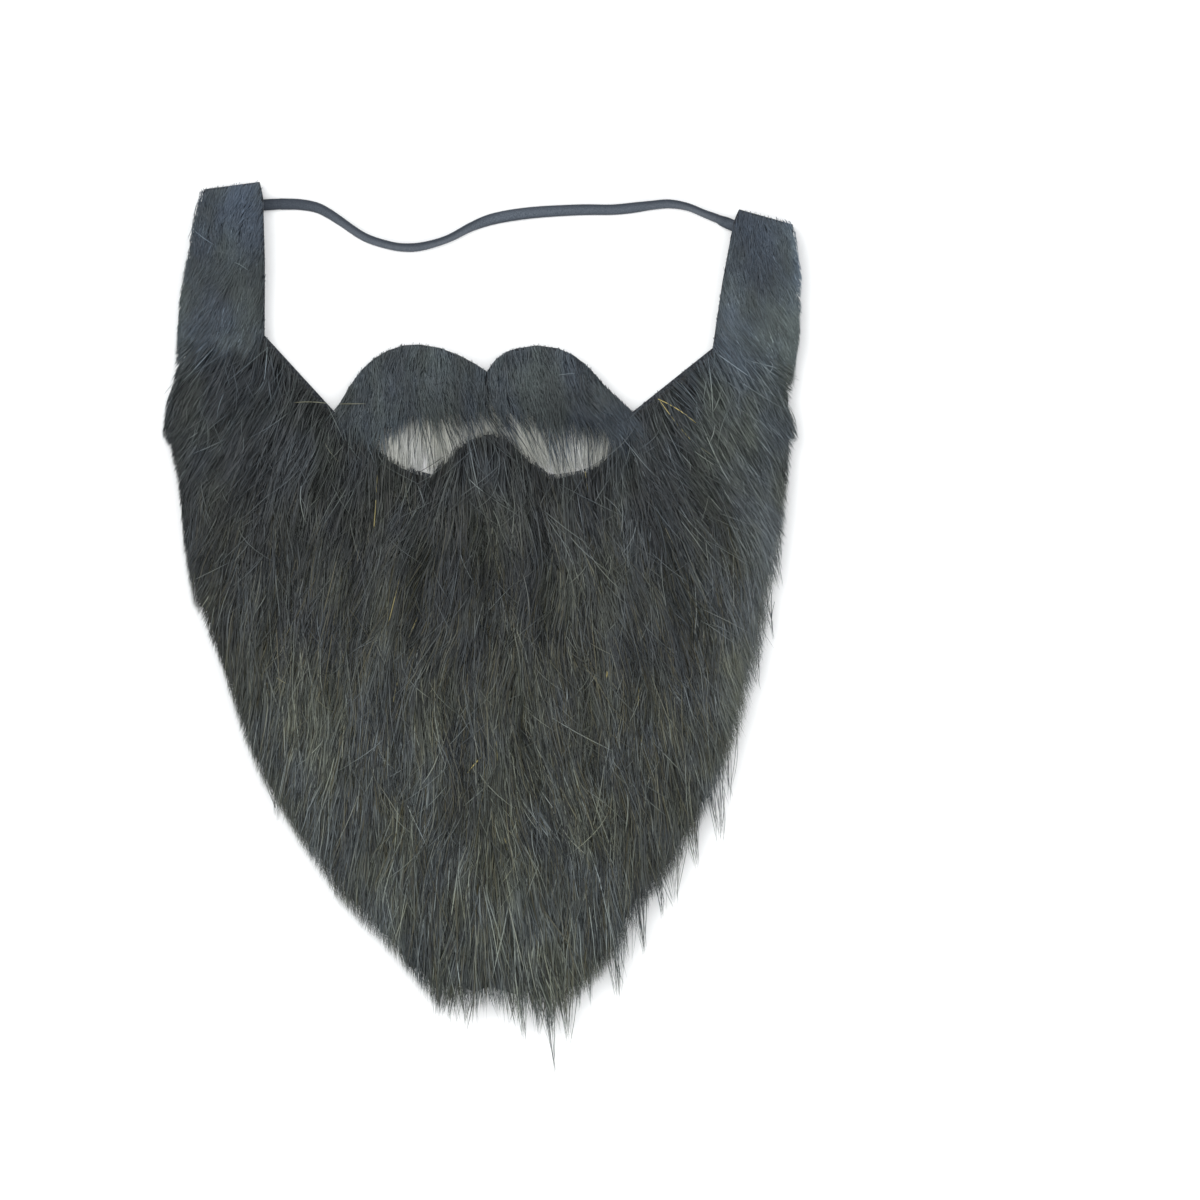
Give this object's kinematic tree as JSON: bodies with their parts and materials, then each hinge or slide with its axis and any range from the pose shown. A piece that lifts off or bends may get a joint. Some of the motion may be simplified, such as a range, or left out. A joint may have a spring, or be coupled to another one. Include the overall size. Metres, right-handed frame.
{
  "type": "false beard",
  "caption": "Fake full beard with moustache, sideburns and mouth opening, in long-pile fur fabric, with an elastic cord that goes round the head.",
  "frame": {"origin": "centre of the fur's outline, at the flat underside of the backing", "axes": "+Z out of the fur side, away from the face; +Y up the beard, from the chin to the sideburns; +X to the side that lies on the right of the picture, the wearer's left"},
  "size_m": [0.2246, 0.3097, 0.0193],
  "materials": {
    "fur": "long-pile fur in charcoal grey, with lighter grey and a few golden hairs",
    "sideburn_fur": "shorter blue-grey pile",
    "knitted_cloth": "fine black knit",
    "elastic": "soft braided grey elastic"
  },
  "bodies": {
    "root": {"cloth_backing": "knitted_cloth", "beard_pile": "fur", "moustache_pile_left": "fur", "moustache_pile_right": "fur", "sideburn_pile_left": "sideburn_fur", "sideburn_pile_right": "sideburn_fur", "elastic_cord": "elastic", "elastic_end_left": "elastic", "elastic_end_right": "elastic"}
  },
  "joints": []
}
